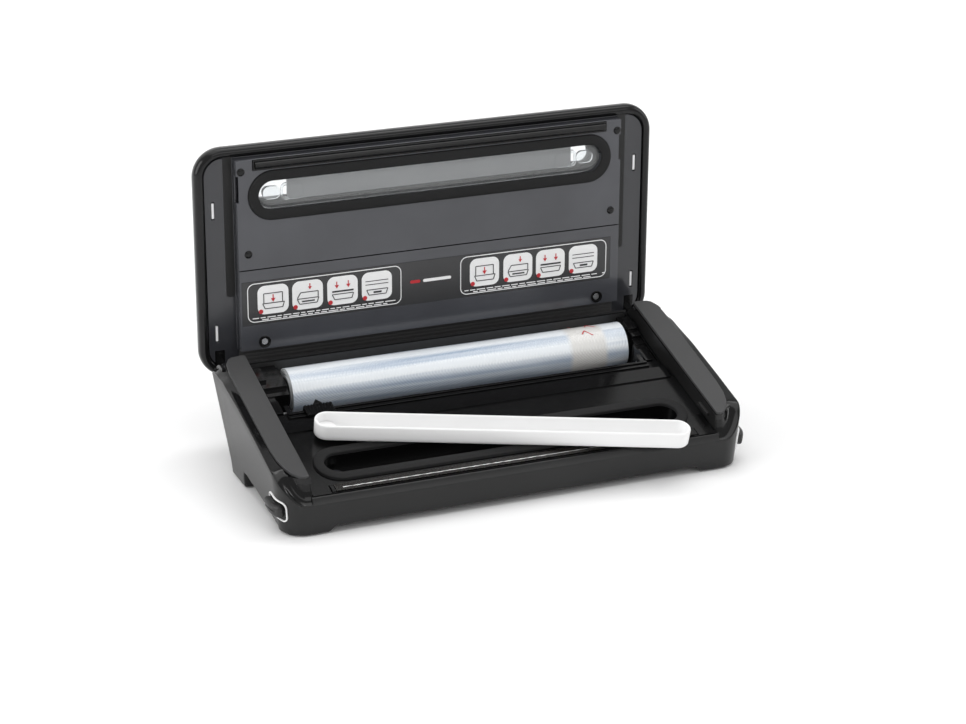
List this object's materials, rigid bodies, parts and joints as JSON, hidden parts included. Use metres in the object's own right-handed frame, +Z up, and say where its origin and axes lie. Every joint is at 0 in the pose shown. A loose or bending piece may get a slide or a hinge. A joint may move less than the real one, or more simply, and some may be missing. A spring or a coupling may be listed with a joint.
{
  "type": "vacuum packing machine",
  "caption": "Kitchen vacuum sealer with a hinged lid open upright, a film roll in its rear bay, a cutter rail, foam vacuum seals and a loose white drip tray.",
  "frame": {"origin": "centre of the overall outline in plan, on the table, with the lid open and the tray laid across the deck", "axes": "+X to the right seen from the front, +Y to the back, +Z up"},
  "size_m": [0.41, 0.2331, 0.2554],
  "materials": {
    "gloss_black": "gloss",
    "matte_black": "satin",
    "dark_grey": "matte",
    "panel_grey": "gloss",
    "white_plastic": "satin",
    "rubber": "matte",
    "foam": "matte",
    "silicone": "satin",
    "steel": "brushed",
    "bright_tab": "polished",
    "heater": "satin",
    "ptfe": "matte",
    "brass": "satin",
    "copper": "satin",
    "cardboard": "matte",
    "film": "gloss",
    "clear": "clear",
    "hose": "satin",
    "board": "satin",
    "components": "satin",
    "iron": "satin",
    "key_grey": "satin",
    "lens_red": "gloss",
    "label": "satin",
    "bush": "satin"
  },
  "bodies": {
    "base": {"base_shell": "matte_black", "bottom_cover": "matte_black", "rubber_feet": "rubber", "deck_plate": "matte_black", "left_shoulder_cover": "dark_grey", "right_shoulder_cover": "dark_grey", "lower_foam_seal": "foam", "suction_nozzle": "dark_grey", "sealing_bar": "dark_grey", "heating_strip": "heater", "nonstick_tape": "ptfe", "heater_terminals": "brass", "left_roll_bracket": "matte_black", "right_roll_bracket": "matte_black", "left_button_ring": "white_plastic", "right_button_ring": "white_plastic", "lever_pins": "steel", "lever_springs": "steel", "hinge_brackets": "steel", "hinge_pins": "steel", "pump_motor": "steel", "pump_head": "components", "pump_bracket": "steel", "vacuum_hose": "hose", "release_valve": "components", "transformer_core": "iron", "transformer_winding": "copper", "control_board": "board", "board_components": "components", "mains_inlet": "matte_black", "lid_switch": "components", "base_screws": "steel"},
    "rail": {"cutter_rail": "gloss_black", "cutter_rail_pins": "steel"},
    "slider": {"cutter_slider": "matte_black", "cutter_blade": "steel"},
    "roll": {"film_core": "cardboard", "film_roll": "film"},
    "left_lever": {"left_release_lever": "matte_black"},
    "right_lever": {"right_release_lever": "matte_black"},
    "lid": {"hinge_bushes": "bush", "lid_shell": "gloss_black", "lid_inner_frame": "gloss_black", "lid_upper_panel": "panel_grey", "lid_lower_panel": "panel_grey", "instruction_label": "label", "lid_window": "clear", "upper_foam_seal": "foam", "press_strip": "silicone", "press_strip_holder": "matte_black", "screw_plugs": "rubber", "lid_screws": "steel", "catch_tabs": "bright_tab", "control_fascia": "gloss_black", "key_board": "board", "indicator_lenses": "lens_red"},
    "vacuum_button": {"vacuum_key": "key_grey"},
    "seal_button": {"seal_key": "key_grey"},
    "stop_button": {"stop_key": "key_grey"},
    "tray": {"drip_tray": "white_plastic"}
  },
  "joints": [
    {"name": "lid_hinge", "type": "hinge", "parent": "base", "child": "lid", "pos_m": [0, 0.0783, 0.069], "axis": [-1, 0, 0], "range_deg": [-104, 0]},
    {"name": "tray_lift_off", "type": "hinge", "parent": "lid", "child": "tray", "pos_m": [0, 0.08587, 0.14378], "axis": [-1, 0, 0], "range_deg": [0, 118.71]},
    {"name": "cutter_rail_hinge", "type": "hinge", "parent": "base", "child": "rail", "pos_m": [0, 0.01782, 0.0552], "axis": [-1, 0, 0], "range_deg": [0, 60]},
    {"name": "cutter_slide", "type": "slide", "parent": "rail", "child": "slider", "axis": [1, 0, 0], "range_m": [0, 0.262]},
    {"name": "film_roll_spin", "type": "hinge", "parent": "base", "child": "roll", "pos_m": [0, 0.06042, 0.05635], "axis": [1, 0, 0], "continuous": true},
    {"name": "left_release", "type": "hinge", "parent": "base", "child": "left_lever", "pos_m": [-0.184, -0.07773, 0.03324], "axis": [0, -0.9673, -0.2538], "range_deg": [0, 6], "stiffness_Nm_per_rad": 0.3},
    {"name": "right_release", "type": "hinge", "parent": "base", "child": "right_lever", "pos_m": [0.184, -0.07773, 0.03324], "axis": [0, 0.9673, 0.2538], "range_deg": [0, 6], "stiffness_Nm_per_rad": 0.3},
    {"name": "vacuum_press", "type": "slide", "parent": "lid", "child": "vacuum_button", "axis": [0, -0.9999, -0.0122], "range_m": [0, 0.0012], "stiffness_N_per_m": 500},
    {"name": "seal_press", "type": "slide", "parent": "lid", "child": "seal_button", "axis": [0, -0.9999, -0.0122], "range_m": [0, 0.0012], "stiffness_N_per_m": 500},
    {"name": "stop_press", "type": "slide", "parent": "lid", "child": "stop_button", "axis": [0, -0.9999, -0.0122], "range_m": [0, 0.0012], "stiffness_N_per_m": 500}
  ],
  "couplings": [
    {"joint": "tray_lift_off", "follows": "lid_hinge", "ratio": -1.1413}
  ]
}
